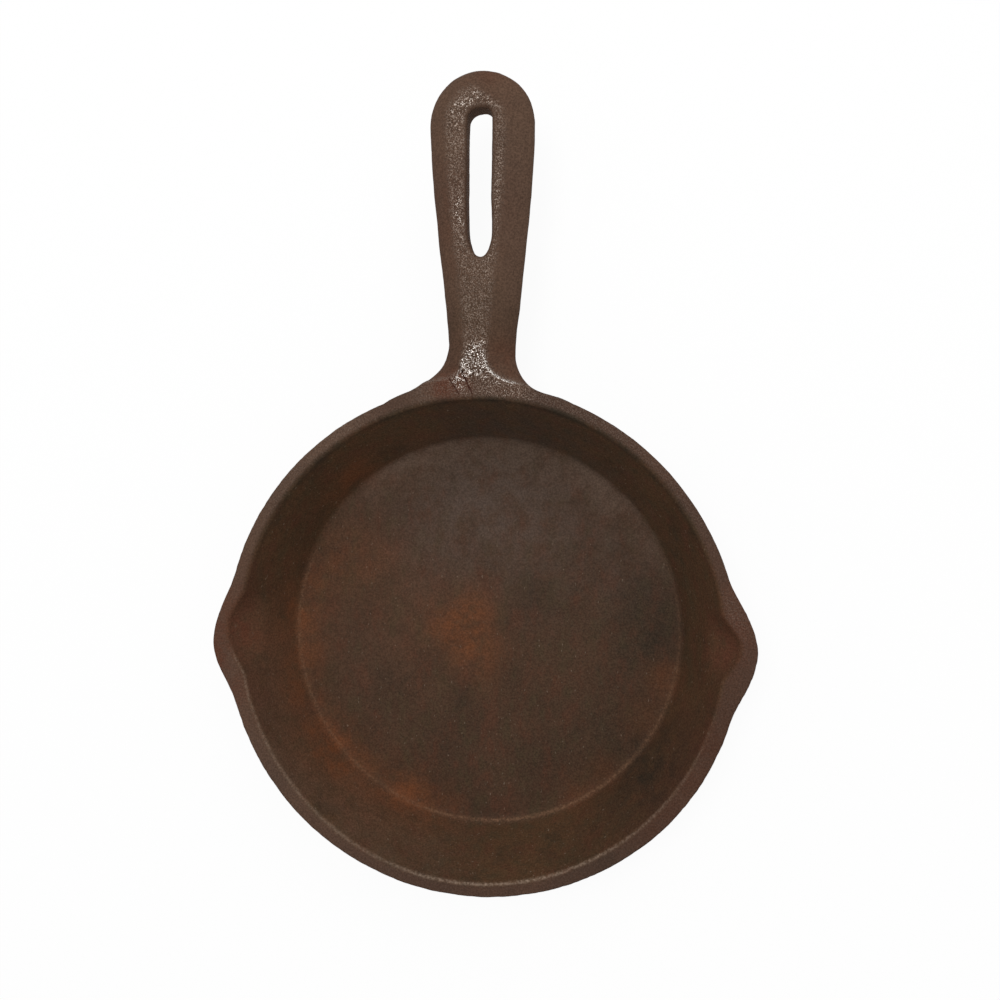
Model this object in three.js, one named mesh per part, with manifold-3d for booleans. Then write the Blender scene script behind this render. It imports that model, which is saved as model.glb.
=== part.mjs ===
// Small cast iron egg skillet: a round pan with two pour spouts and a slotted handle.
// Millimetres, +Z up. The origin is the centre of the flat underside and the handle points along +Y.

import * as THREE from "three";
import { mergeVertices } from "three/addons/utils/BufferGeometryUtils.js";
import Module from "manifold-3d";

// Pan
const RIM_DIAMETER = 165; // outside of the rim, away from the spouts
const PAN_HEIGHT = 30; // table to rim
const FLOOR_DIAMETER = 133.4; // corner where the inside of the wall meets the floor
const FLOOR_THICKNESS = 4;
const WALL = 4.9; // thickness of the wall, measured level
const BASE_CORNER = 6; // radius between the underside and the outside of the wall
const FLOOR_CORNER = 2.5; // radius between the floor and the inside of the wall
const RIM_ROUND = 1; // radius along the outside edge of the rim
const RIM_CHAMFER = 0.6; // broken inside edge of the rim

// Pour spouts, one on each side of the pan
const SPOUT_REACH = 5.6; // how far the lip stands out past the rim
const SPOUT_DEPTH = 13; // how far below the rim the lip starts to swell
const SPOUT_HALF_ANGLE = 18; // degrees from the middle of the lip to its foot
const CHANNEL_REACH = 4.9; // how far the channel is pressed out of the inside of the wall
const CHANNEL_DEPTH = 11;
const CHANNEL_HALF_ANGLE = 11;

// Handle
const HANDLE_LENGTH = 97.5; // from the rim to the tip
const HANDLE_END_WIDTH = 33; // across the round end
const HANDLE_NECK_WIDTH = 21.5; // narrowest place, next to the pan
const HANDLE_RISE = 2.9; // degrees that the handle climbs away from the pan
const CROWN = 4.5; // how far the flanks fall from the top ridge to the edge
const BELLY = 4.5; // how far the underside bulges below the edge
const FLANK = 7.2; // width over which the top and the underside round off
const NECK_SWEEP = 12; // length of the straight run where the taper leaves the neck
const END_SWEEP = 24; // and where it reaches the round end
const ROOT_FILLET_LEFT = 22; // radius between the handle and the rim, seen from above
const ROOT_FILLET_RIGHT = 15;
const ROOT_DEPTH = 14; // thickness of the handle where it leaves the rim
const ROOT_LENGTH = 30; // distance over which the root thins to the rest of the handle
const ROOT_SHOULDER = 10; // distance over which the flanks fade out at the rim
const ROOT_STEP = 0.3; // the ridge meets the rounded rim this far below its top

// Hanging slot
const SLOT_LENGTH = 45.5;
const SLOT_WIDTH = 7.4;
const SLOT_TO_TIP = 11.8; // metal between the slot and the tip of the handle
const SLOT_SHIFT = 0.7; // the slot lies this far left of the middle
const SLOT_CORNER = 2.5; // corners of the squarer end, next to the tip
const SLOT_POINT = 8; // length of the half ellipse that ends the slot next to the pan
const SLOT_ROUND = 1.4; // rounding of the slot's edges, above and below

// Plane on which the handle and the pan meet, just outside the rim
const SEAM_CLEARANCE = 1;

// Smoothness of the facets
const TURN_STEPS = 144;
const ARC_STEPS = 4;
const WALL_STEPS = 6;
const SECTION_STEPS = 7;
const FILLET_STEPS = 9;
const TAPER_STEPS = 16;
const TIP_STEPS = 7;

// Rusty brown iron
const IRON_COLOUR = 0x493529;
const IRON_ROUGHNESS = 0.7;
const IRON_METALNESS = 0.5;

// Places that follow from the sizes above
const RIM_RADIUS = RIM_DIAMETER / 2;
const FLOOR_RADIUS = FLOOR_DIAMETER / 2;
const DEPTH = PAN_HEIGHT - FLOOR_THICKNESS;
const END_RADIUS = HANDLE_END_WIDTH / 2;
const NECK_HALF = HANDLE_NECK_WIDTH / 2;
const TIP_Y = RIM_RADIUS + HANDLE_LENGTH;
const END_Y = TIP_Y - END_RADIUS;
const RISE = Math.tan(THREE.MathUtils.degToRad(HANDLE_RISE));
const SEAM_Y = RIM_RADIUS + SEAM_CLEARANCE;

// The wall leans out from the floor so that its outside runs into the rounded edge of the rim
const EDGE_IN = FLOOR_RADIUS + WALL - (RIM_RADIUS - RIM_ROUND);
const EDGE_UP = DEPTH - RIM_ROUND;
const LEAN = Math.atan2(EDGE_UP, EDGE_IN) - Math.acos(RIM_ROUND / Math.hypot(EDGE_IN, EDGE_UP));

const wasm = await Module();
wasm.setup();

// Radius of the wall at a height, inside and outside, before the spouts are drawn out of it
function innerRadius(z) {
  return FLOOR_RADIUS + (z - FLOOR_THICKNESS) * Math.tan(LEAN);
}

function outerRadius(z) {
  return innerRadius(z) + WALL;
}

// A closed three.js geometry as a solid that can be joined and cut
function solid(geometry) {
  geometry.deleteAttribute("normal");
  geometry.deleteAttribute("uv");
  const merged = mergeVertices(geometry);
  const corners = merged.index.array;
  const triVerts = [];
  for (let i = 0; i < corners.length; i += 3) {
    const [a, b, c] = corners.slice(i, i + 3);
    if (a !== b && b !== c && c !== a) triVerts.push(a, b, c);
  }
  return new wasm.Manifold(new wasm.Mesh({
    numProp: 3,
    vertProperties: merged.attributes.position.array,
    triVerts: new Uint32Array(triVerts),
  }));
}

function mesh(name, body) {
  const { vertProperties, triVerts } = body.getMesh();
  const geometry = new THREE.BufferGeometry();
  geometry.setAttribute("position", new THREE.BufferAttribute(vertProperties, 3));
  geometry.setIndex(new THREE.BufferAttribute(triVerts, 1));
  geometry.computeVertexNormals();
  const material = new THREE.MeshStandardMaterial({
    color: IRON_COLOUR,
    roughness: IRON_ROUGHNESS,
    metalness: IRON_METALNESS,
  });
  const named = new THREE.Mesh(geometry, material);
  named.name = name;
  return named;
}

// A profile of straight runs whose corners, each [radius, height, rounding], are rounded by arcs
function roundedProfile(corners) {
  const path = new THREE.Path();
  path.moveTo(corners[0][0], corners[0][1]);
  for (let i = 1; i < corners.length; i += 1) {
    const [x, y, rounding] = corners[i];
    if (!rounding) {
      path.lineTo(x, y);
      continue;
    }
    const corner = new THREE.Vector2(x, y);
    const back = new THREE.Vector2(...corners[i - 1]).sub(corner).normalize();
    const ahead = new THREE.Vector2(...corners[i + 1]).sub(corner).normalize();
    const half = Math.acos(back.dot(ahead)) / 2;
    const middle = back.clone().add(ahead).normalize();
    const centre = corner.clone().addScaledVector(middle, rounding / Math.sin(half));
    const reach = rounding / Math.tan(half);
    const foot = corner.clone().addScaledVector(back, reach);
    const start = foot.clone().sub(centre);
    const end = corner.clone().addScaledVector(ahead, reach).sub(centre);
    const clockwise = start.cross(end) < 0;
    path.lineTo(foot.x, foot.y);
    path.absarc(centre.x, centre.y, rounding, start.angle(), end.angle(), clockwise);
  }
  return path.getPoints(ARC_STEPS / 2);
}

// Extra points up the wall, close enough together to bend where a spout is drawn out
function wallPoints(depth, radiusAt) {
  const points = [];
  for (let i = 0; i < WALL_STEPS; i += 1) {
    const z = PAN_HEIGHT - depth * (1 - i / WALL_STEPS);
    points.push([radiusAt(z), z, 0]);
  }
  return points;
}

// Revolves a profile and draws two opposite spouts out of its upper part
function spoutedRevolve(profile, reach, depth, halfAngle) {
  const geometry = new THREE.LatheGeometry(profile, TURN_STEPS);
  geometry.rotateX(Math.PI / 2);
  const position = geometry.attributes.position;
  const foot = THREE.MathUtils.degToRad(halfAngle);
  for (let i = 0; i < position.count; i += 1) {
    const x = position.getX(i);
    const y = position.getY(i);
    const radius = Math.hypot(x, y);
    const bearing = Math.atan2(Math.abs(y), Math.abs(x));
    const lift = THREE.MathUtils.smoothstep(position.getZ(i), PAN_HEIGHT - depth, PAN_HEIGHT);
    if (radius < FLOOR_RADIUS || bearing > foot) continue;
    const swell = reach * lift * (1 + Math.cos(Math.PI * bearing / foot)) / 2;
    position.setX(i, x * (radius + swell) / radius);
    position.setY(i, y * (radius + swell) / radius);
  }
  return solid(geometry);
}

function panOutside() {
  const profile = roundedProfile([
    [0, 0, 0],
    [outerRadius(0), 0, BASE_CORNER],
    ...wallPoints(SPOUT_DEPTH, outerRadius),
    [outerRadius(PAN_HEIGHT), PAN_HEIGHT, RIM_ROUND],
    [0, PAN_HEIGHT, 0],
  ]);
  return spoutedRevolve(profile, SPOUT_REACH, SPOUT_DEPTH, SPOUT_HALF_ANGLE);
}

function panInside() {
  const above = WALL / 2; // the cut runs on above the rim
  const chamferFoot = PAN_HEIGHT - RIM_CHAMFER;
  const chamferTop = innerRadius(chamferFoot) + RIM_CHAMFER + above;
  const profile = roundedProfile([
    [0, FLOOR_THICKNESS, 0],
    [FLOOR_RADIUS, FLOOR_THICKNESS, FLOOR_CORNER],
    ...wallPoints(CHANNEL_DEPTH, innerRadius),
    [innerRadius(chamferFoot), chamferFoot, 0],
    [chamferTop, PAN_HEIGHT + above, 0],
    [0, PAN_HEIGHT + above, 0],
  ]);
  return spoutedRevolve(profile, CHANNEL_REACH, CHANNEL_DEPTH, CHANNEL_HALF_ANGLE);
}

// Where an arc of this radius leaves the straight neck to run out along the rim
function rootArc(fillet) {
  const x = NECK_HALF + fillet;
  const y = Math.sqrt((RIM_RADIUS + fillet) ** 2 - x ** 2);
  const rim = y * RIM_RADIUS / (RIM_RADIUS + fillet);
  return { x, y, rim, fillet };
}

const LEFT_ROOT = rootArc(ROOT_FILLET_LEFT);
const RIGHT_ROOT = rootArc(ROOT_FILLET_RIGHT);
const NECK_Y = RIGHT_ROOT.y;

// What a root fillet adds to the half width of the neck
function flare(root, y) {
  const fall = Math.min(Math.max(root.y - y, 0), root.y - root.rim);
  return root.fillet - Math.sqrt(root.fillet ** 2 - fall ** 2);
}

// Cross-sections of the handle as [y, half width on the left, half width on the right]
function handleStations() {
  const buried = FLOOR_RADIUS;
  const ys = [buried];
  for (let i = 0; i <= FILLET_STEPS; i += 1) {
    ys.push(THREE.MathUtils.lerp(LEFT_ROOT.rim, NECK_Y, i / FILLET_STEPS));
  }
  const stations = ys.map((y) => [y, NECK_HALF + flare(LEFT_ROOT, y), NECK_HALF + flare(RIGHT_ROOT, y)]);

  const taper = new THREE.CubicBezierCurve(
    new THREE.Vector2(NECK_HALF, NECK_Y),
    new THREE.Vector2(NECK_HALF, NECK_Y + NECK_SWEEP),
    new THREE.Vector2(END_RADIUS, END_Y - END_SWEEP),
    new THREE.Vector2(END_RADIUS, END_Y),
  );
  for (const { x, y } of taper.getPoints(TAPER_STEPS).slice(1)) {
    stations.push([y, x + flare(LEFT_ROOT, y), x]);
  }

  for (let i = 1; i <= TIP_STEPS; i += 1) {
    const turn = i / TIP_STEPS * Math.PI / 2;
    const half = END_RADIUS * Math.cos(turn);
    stations.push([END_Y + END_RADIUS * Math.sin(turn), half, half]);
  }
  return stations;
}

// Rounding of a handle edge: 0 on the edge itself, 1 from a flank's width inwards
function bullnose(inset, flank) {
  const u = THREE.MathUtils.clamp(1 - inset / flank, 0, 1);
  return Math.sqrt(1 - u ** 2);
}

// Height of the ridge along the top of the handle
function ridgeHeight(y) {
  return PAN_HEIGHT - ROOT_STEP + Math.max(y - RIM_RADIUS, 0) * RISE;
}

// Top and underside of the handle at a point x of a cross-section
function handleHeights(x, y, half) {
  const inset = y > END_Y ? END_RADIUS - Math.hypot(x, y - END_Y) : half - Math.abs(x);
  const shoulder = THREE.MathUtils.smoothstep(y, RIM_RADIUS, RIM_RADIUS + ROOT_SHOULDER);
  const crown = THREE.MathUtils.lerp(RIM_ROUND, CROWN, shoulder);
  const flank = THREE.MathUtils.lerp(RIM_ROUND, FLANK, shoulder);
  const stretch = Math.max(1 - (y - RIM_RADIUS) / ROOT_LENGTH, 0);
  const thickness = THREE.MathUtils.lerp(CROWN + BELLY, ROOT_DEPTH, stretch ** 2);
  const keel = THREE.MathUtils.lerp(FLANK, half, Math.min(stretch, 1));
  const edge = ridgeHeight(y) - crown;
  return {
    top: edge + crown * bullnose(inset, flank),
    under: edge - (thickness - crown) * bullnose(inset, keel),
  };
}

// Loft through the cross-sections: a ring of points each, over the top and back along the underside
function handleLoft() {
  const vertices = [];
  const faces = [];
  const stations = handleStations();
  const ring = 4 * SECTION_STEPS;
  for (const [y, left, right] of stations) {
    for (let j = 0; j < ring; j += 1) {
      const turn = 2 * Math.PI * j / ring;
      const half = Math.cos(turn) < 0 ? left : right;
      const x = half * Math.cos(turn);
      const { top, under } = handleHeights(x, y, half);
      vertices.push(x, y, j <= ring / 2 ? top : under);
    }
  }
  for (let i = 0; i + 1 < stations.length; i += 1) {
    for (let j = 0; j < ring; j += 1) {
      const a = i * ring + j;
      const b = i * ring + (j + 1) % ring;
      faces.push(a, b + ring, b, a, a + ring, b + ring);
    }
  }
  for (let j = 1; j + 1 < ring; j += 1) faces.push(0, j, j + 1);

  const geometry = new THREE.BufferGeometry();
  geometry.setAttribute("position", new THREE.Float32BufferAttribute(vertices, 3));
  geometry.setIndex(faces);
  return solid(geometry);
}

// Cutter for the slot, flared at both faces so that it leaves rounded edges
function slotCutter() {
  const half = SLOT_WIDTH / 2;
  const far = TIP_Y - SLOT_TO_TIP;
  const near = far - SLOT_LENGTH;
  const outline = new THREE.Shape();
  outline.moveTo(half, near + SLOT_POINT);
  outline.absarc(half - SLOT_CORNER, far - SLOT_CORNER, SLOT_CORNER, 0, Math.PI / 2);
  outline.absarc(SLOT_CORNER - half, far - SLOT_CORNER, SLOT_CORNER, Math.PI / 2, Math.PI);
  outline.absellipse(0, near + SLOT_POINT, half, SLOT_POINT, Math.PI, 2 * Math.PI);

  const thickness = CROWN + BELLY;
  const proud = SLOT_ROUND / 10; // the flares start just clear of the faces
  const geometry = new THREE.ExtrudeGeometry(outline, {
    depth: thickness + 2 * proud - 2 * SLOT_ROUND,
    bevelThickness: SLOT_ROUND,
    bevelSize: -SLOT_ROUND,
    bevelOffset: SLOT_ROUND,
    bevelSegments: ARC_STEPS - 1,
    curveSegments: 2 * ARC_STEPS,
  });
  geometry.translate(-SLOT_SHIFT, 0, SLOT_ROUND - proud - thickness);
  const position = geometry.attributes.position;
  for (let i = 0; i < position.count; i += 1) {
    position.setZ(i, position.getZ(i) + ridgeHeight(position.getY(i)));
  }
  return solid(geometry);
}

// Block that covers everything on the handle's side of the seam
function handleSide() {
  const wide = 2 * RIM_DIAMETER;
  const block = new THREE.BoxGeometry(wide, wide, wide);
  block.translate(0, SEAM_Y + wide / 2, 0);
  return solid(block);
}

const casting = panOutside().add(handleLoft()).subtract(panInside()).subtract(slotCutter());
const skillet = new THREE.Group();
skillet.add(mesh("pan", casting.subtract(handleSide())));
skillet.add(mesh("handle", casting.intersect(handleSide())));

export default skillet;
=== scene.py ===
# Small cast iron egg skillet, dressed as one continuous rusty casting on a plain white floor.
# The skillet is described in millimetres by a function that is negative inside the iron. A fine
# skin is drawn around it, and the mesh is then written in metres in the frame of the solids.
import math

import bmesh
import bpy
import numpy as np
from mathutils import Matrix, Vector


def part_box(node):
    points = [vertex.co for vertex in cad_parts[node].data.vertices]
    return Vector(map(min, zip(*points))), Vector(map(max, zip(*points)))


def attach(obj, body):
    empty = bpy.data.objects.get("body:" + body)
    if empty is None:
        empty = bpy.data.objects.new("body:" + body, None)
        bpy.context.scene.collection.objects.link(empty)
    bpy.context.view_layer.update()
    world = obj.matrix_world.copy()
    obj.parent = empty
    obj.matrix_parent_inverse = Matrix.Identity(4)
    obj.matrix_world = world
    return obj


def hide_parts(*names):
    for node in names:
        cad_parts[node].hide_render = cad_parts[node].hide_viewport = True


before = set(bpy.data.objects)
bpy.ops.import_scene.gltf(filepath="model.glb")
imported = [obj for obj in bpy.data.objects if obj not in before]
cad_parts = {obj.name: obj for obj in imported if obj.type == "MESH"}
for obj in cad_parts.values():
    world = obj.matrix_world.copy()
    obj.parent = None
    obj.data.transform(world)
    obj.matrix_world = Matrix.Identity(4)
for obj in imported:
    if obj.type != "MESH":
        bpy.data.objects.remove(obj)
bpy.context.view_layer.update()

import openvdb
from mathutils import Matrix, Vector

MM = 0.001
SEED = 7
PAN_LOW, PAN_HIGH = (Vector(corner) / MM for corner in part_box("pan"))
HANDLE_HIGH = Vector(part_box("handle")[1]) / MM

# Pan
RIM_RADIUS = -PAN_LOW.y
PAN_HEIGHT = PAN_HIGH.z
FLOOR_RADIUS = 66.7
FLOOR_THICKNESS = 4.0
WALL = 4.9
LEAN = math.radians(23.7)
BASE_CORNER = 6.0
FLOOR_CORNER = 2.5
RIM_ROUND = 1.2
RIM_INNER_ROUND = 1.0

# The rim isn't quite round: cosine and sine parts, in millimetres, for 0, 1, 2 and more waves around it
RIM_WAVES = ((0.2, 0.0), (0.4, -0.35), (0.15, -0.3), (0.0, -0.3), (0.15, -0.1))
# Nor are its inner edge and the corner around the floor, in the same way
INNER_WAVES = ((-0.15, 0.0), (0.0, 0.45), (-0.2, 0.25), (0.0, 0.4))
FLOOR_WAVES = ((-0.4, 0.0), (0.2, -0.6), (0.1, 0.1))

# Spouts: bearing of the middle, reach, how far below the rim it starts, half angle of the top, and of the
# foot on the two sides, and how far the second side is straight and ends in a corner
RIGHT_LIP = (0.3, 5.5, 13.0, 0.0, 16.5, 16.5, 0.0)
LEFT_LIP = (182.0, 4.7, 13.0, 0.0, 17.0, 14.0, 0.0)
RIGHT_CHANNEL = (0.9, 4.9, 11.0, 0.3, 8.6, 8.6, 0.0)
LEFT_CHANNEL = (179.4, 4.3, 12.0, 1.6, 11.4, 10.6, 0.7)

# Handle
TIP_Y = HANDLE_HIGH.y
END_RADIUS = HANDLE_HIGH.x
END_Y = TIP_Y - END_RADIUS
NECK_HALF = 10.75
NECK_SWEEP = 12.0
END_SWEEP = 24.0
CURVE_POINTS = 60
RISE = math.tan(math.radians(2.9))
CROWN = 4.5
BELLY = 4.5
LEFT_FLANK = 7.0
RIGHT_FLANK = 10.4
KEEL = 7.2
LEFT_FILLET = 18.0
RIGHT_FILLET = 13.5
SWAY_Y = (RIM_RADIUS + 10.0, RIM_RADIUS + 24.0, END_Y)
SWAY_X = (0.27, 0.40, -0.30)
END_POWER = 2.03
LEAST_FLANK = 1.2
LEAST_ACROSS = 0.01
MIDDLE_BLEND = 3.0
ROOT_DEPTH = 14.0
ROOT_LENGTH = 30.0
ROOT_BLEND = 5.0
ROOT_BLEND_DEPTH = (0.5, 8.0)

# Webs that fill out the fillets of the root: reach, and bearing off the handle of their start, peak and end
LEFT_WEB = (1.40, 6.5, 12.6, 25.5)
RIGHT_WEB = (0.4, 8.0, 18.0, 26.0)

# Past the fillets the edge of the handle sinks into the rim, over this many degrees
RIM_INSET = 6.0
RIM_FADE = (3.0, 24.0)

# The flat land of the rim runs up on to the ridge in two arcs, and stands a step above the flanks
LEFT_LAND_FILLET = 3.5
RIGHT_LAND_FILLET = 8.0
LEFT_LAND_REACH = 2.2
RIGHT_LAND_REACH = 1.0
LEFT_STEP = 0.5
RIGHT_STEP = 0.9
STEP_RUN = 1.3
STEP_FADE = (84.0, 96.0)

# Hanging slot: its far end slants between two corners, its near end is a long round point, and its
# middle line bends
SLOT_HALF = 3.9
SLOT_FAR = TIP_Y - 12.1
SLOT_NEAR = SLOT_FAR - 45.2
SLOT_POINT = 9.0
SLOT_SLANT = 0.15
SLOT_LEFT_CORNER = 3.0
SLOT_RIGHT_CORNER = 3.4
SLOT_LINE_Y = (SLOT_NEAR, SLOT_NEAR + 18.0, SLOT_FAR)
SLOT_LINE_X = (-0.15, -0.85, -0.65)
SLOT_ROUND = 1.5

# Two nicks across the land beside the handle: both ends as x, y, and the radius
NICKS = (((-9.6, 84.6), (-6.5, 79.8), 0.24), ((-5.6, 86.9), (-2.3, 80.0), 0.30))
NICK_LIFT = 0.05
NICK_UNEVEN = 0.3
NICK_RAG_X = 2.0
NICK_RAG_Y = 3.0

# Skin: a grid around the iron, split finer by the edges, then settled on the surface
VOXEL = 1.25
MARGIN = 4.0
GRID_LOW = (-95.0, -RIM_RADIUS - 6.0, 0.0)
GRID_HIGH = (95.0, TIP_Y, 36.0)
FINE_BELOW_RIM = 3.0
FINE_ROOT = 16.0
FINE_EDGE = 3.0
FINER_EDGE = 0.9
FINEST_EDGE = 0.5
RELAX_ROUNDS = 4
RELAX_SHARE = 0.5
NUDGE = 0.04
LEAST_SLOPE = 0.05
LONGEST_MOVE = 0.5
TINY = 1e-6

# Unevenness of the sand casting: wave length and height
SWELLS = ((16.0, 0.035), (5.0, 0.015), (2.4, 0.010))
WAVES_EACH = 24
WAVE_SPREAD = (0.7, 1.4)
TABLE_FADE = (0.0, 1.0)

# Colours of the iron
FLOOR_BROWN = (0.068, 0.037, 0.0225, 1.0)
FLOOR_DARK = (0.055, 0.031, 0.0195, 1.0)
WALL_BROWN = (0.082, 0.043, 0.022, 1.0)
WALL_DARK = (0.066, 0.035, 0.019, 1.0)
RIM_BROWN = (0.078, 0.042, 0.028, 1.0)
RIM_DARK = (0.064, 0.036, 0.025, 1.0)
HANDLE_BROWN = (0.102, 0.061, 0.041, 1.0)
HANDLE_DARK = (0.086, 0.052, 0.036, 1.0)
# Painted sheen: the upper floor made greyer and lighter where the lamps would shine on it
PAINTED_SHEEN = (0.084, 0.057, 0.044, 1.0)
RUST = (0.132, 0.048, 0.021, 1.0)
RED_BROWN = (0.088, 0.034, 0.020, 1.0)
# Dark soot colour, which also paints shade on the wall and along the lip by the handle
SOOT_AND_SHADE = (0.029, 0.023, 0.016, 1.0)
OLIVE = (0.056, 0.040, 0.022, 1.0)
# Pale dust colour, which also paints a band of light along the upper edge of the floor
DUST_AND_PAINTED_LIGHT = (0.115, 0.075, 0.054, 1.0)
# Dark red in the nicks: partly rust, partly painted shade
CREVICE_RUST_AND_SHADE = (0.040, 0.012, 0.008, 1.0)
# Tans of two painted highlight lines: one along the inner edge of the rim, which is partly wear as well,
# and one around the corner of the floor
EDGE_WEAR_AND_HIGHLIGHT_TAN = (0.230, 0.165, 0.122, 1.0)
RING_HIGHLIGHT_TAN = (0.170, 0.092, 0.053, 1.0)
SPECK = (0.200, 0.150, 0.110, 1.0)
# Rubbed flecks, lightened to paint glints on the flats that face the lamps
WORN_AND_GLINT_GREY = (0.210, 0.168, 0.138, 1.0)
BARE_AND_GLINT = (0.660, 0.620, 0.580, 1.0)

# Stains as spots, with painted sheen and painted shade among them: x, y, z, radius and strength
RUST_SPOTS = (
    (-6.2, 0.0, 4.0, 10.0, 0.88),
    (-12.0, 2.0, 4.0, 10.0, 0.30),
    (-28.0, -8.0, 4.0, 20.0, 0.16),
    (-3.5, 11.0, 4.0, 7.0, 0.25),
    (-1.0, -12.0, 4.0, 8.0, 0.50),
    (-40.0, 22.0, 4.0, 14.0, 0.30),
    (-53.0, 24.0, 4.0, 10.0, 0.30),
    (-64.0, 10.0, 5.0, 9.0, 0.60),
    (-62.0, -9.0, 4.0, 9.0, 0.40),
    (-69.0, 2.0, 8.0, 8.0, 0.45),
    (-66.0, -20.0, 8.0, 9.0, 0.50),
    (-51.0, -43.0, 9.0, 9.0, 0.85),
    (-28.0, -58.0, 5.0, 9.0, 0.70),
    (-16.0, -64.0, 6.0, 9.0, 0.50),
    (-59.0, -36.0, 15.0, 14.0, 0.35),
    (-42.0, -57.0, 16.0, 16.0, 0.25),
    (-75.0, -6.0, 22.0, 9.0, 0.25),
    (-43.5, 54.0, 12.0, 7.0, 0.80),
    (-52.0, 48.0, 12.0, 6.0, 0.50),
    (-20.6, 68.6, 12.0, 7.0, 0.35),
    (61.0, -14.0, 4.0, 6.0, 0.60),
    (54.0, -29.0, 4.0, 7.0, 0.60),
    (42.0, -47.0, 4.0, 7.0, 0.60),
    (32.0, -55.0, 4.0, 6.0, 0.35),
)
DUST_SPOTS = ((-38.0, -10.0, 4.0, 28.0, 0.16),)
RED_SPOTS = (
    (-76.8, -0.3, 25.0, 8.0, 0.5),
    (-81.0, 10.0, 30.0, 14.0, 0.7),
    (78.0, 0.1, 25.0, 8.0, 0.8),
    (82.0, 10.0, 30.0, 12.0, 0.6),
    (69.0, -42.0, 30.0, 20.0, 0.7),
    (77.0, -24.0, 30.0, 13.0, 0.45),
    (-80.0, -20.0, 30.0, 16.0, 0.5),
    (-85.0, -8.0, 30.0, 9.0, 0.7),
    (58.0, -56.0, 29.0, 10.0, 0.4),
    (-10.3, 82.0, 30.0, 5.0, 1.5),
    (-5.5, 82.0, 30.0, 3.5, 0.8),
    (8.0, 90.0, 28.0, 7.0, 0.6),
    (-12.0, 135.0, 30.0, 20.0, 0.35),
    (3.0, 178.0, 32.0, 9.0, 0.4),
)
# The two spots on the wall by the handle, at a height of 15, are painted shade; the others are soot
SOOT_AND_SHADE_SPOTS = (
    (53.4, 1.6, 4.0, 12.0, 0.8),
    (42.0, -35.0, 4.0, 20.0, 0.25),
    (57.5, -43.3, 15.0, 21.0, 0.75),
    (27.0, 68.0, 15.0, 16.0, 0.35),
    (0.0, 75.0, 15.0, 25.0, 0.35),
    (17.0, 14.5, 4.0, 7.0, 0.5),
    (8.0, -15.0, 4.0, 7.0, 0.4),
    (-56.0, -18.0, 4.0, 8.0, 0.35),
)
OLIVE_SPOTS = ((0.0, 102.0, 29.0, 17.0, 0.32),)
# Painted sheen on the upper part of the floor
PAINTED_SHEEN_SPOTS = (
    (5.0, 50.0, 4.0, 30.0, 1.0),
    (-20.0, 30.0, 4.0, 20.0, 0.3),
    (40.0, 25.0, 4.0, 25.0, 0.3),
)
PALE_SPOTS = (
    (-15.0, 81.0, 29.0, 8.0, 1.1),
    (9.0, 88.0, 28.0, 6.0, 0.9),
)

# Stains along the corner of the floor, and a painted band of light along its upper edge: bearing, half
# angle, half width and strength
PAINTED_LIGHT_ARCS = ((80.0, 75.0, 9.0, 0.9),)
RUST_ARCS = ((215.0, 55.0, 6.0, 0.30), (-40.0, 38.0, 5.0, 0.20))
ARC_CORE = 0.4

# Stains that run around the pan, and painted shade along the lip on the handle side: bearing and strength
WALL_DUST = ((168, 0.0), (185, 0.40), (235, 0.42), (255, 0.24), (275, 0.0))
LIP_SHADE = ((10, 0.0), (40, 0.6), (140, 0.6), (175, 0.0))
RIM_SOOT = ((285, 0.0), (300, 0.35), (345, 0.30), (360, 0.0))
RIM_PALE = ((105, 0.0), (122, 0.75), (150, 0.65), (175, 0.75), (205, 0.85), (228, 0.3), (258, 0.0))

# The rim turns to the paler brown of the handle along its root
HANDLE_RUN = (86.0, 124.0)

# Where the crust is rubbed off the rim and the handle, and where glints are painted on as bright flecks,
# with spots as above; the first spot is the painted glint on the flat by the root
WEAR_AND_GLINT_RUN = (82.0, 92.0)
WORN_AND_GLINT_RIM = 0.10
WORN_AND_GLINT_RIDGE = 0.51
WORN_AND_GLINT_SPOTS = (
    # The first spot paints the bright glint on the flat by the root
    (-3.5, 88.7, 30.0, 2.9, 1.95),
    (-1.4, 91.5, 30.0, 4.2, 0.75),
    (-1.5, 102.0, 31.0, 9.0, 0.14),
    (1.5, 88.5, 30.0, 2.5, 0.30),
    (-7.2, 84.6, 30.0, 2.0, 0.95),
    (-5.5, 81.0, 30.0, 2.5, 0.46),
    (-9.0, 83.0, 30.0, 4.0, 0.20),
    (-17.0, 80.5, 30.0, 5.0, 0.22),
    (4.0, 83.5, 30.0, 9.0, 0.62),
    (14.0, 81.0, 30.0, 8.0, 0.38),
    (-6.5, 128.0, 32.0, 6.0, 0.18),
    (-7.0, 137.0, 32.0, 7.0, 0.26),
    (-9.0, 160.0, 33.0, 6.0, 0.18),
    (-8.2, 168.0, 34.0, 5.0, 0.30),
    (-1.5, 172.5, 34.0, 5.5, 0.29),
    (4.5, 171.0, 34.0, 4.0, 0.25),
    (5.0, 143.0, 33.0, 12.0, 0.26),
    (3.0, 122.0, 32.0, 8.0, 0.18),
    (-45.0, 66.0, 30.0, 14.0, 0.24),
    (-62.0, 50.0, 30.0, 12.0, 0.14),
    (32.0, 74.0, 30.0, 12.0, 0.26),
    (50.0, 63.0, 30.0, 14.0, 0.19),
    (66.0, 45.0, 30.0, 14.0, 0.14),
    (80.0, 12.0, 30.0, 8.0, 0.22),
)
WORN_AND_GLINT_INSIDE = 0.03
WEAR_AND_GLINT_FADE = (0.5, 2.8)
ROOT_AREA_X = RIM_RADIUS / 2.0
ROOT_AREA_Y = RIM_RADIUS * 0.9

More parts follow.
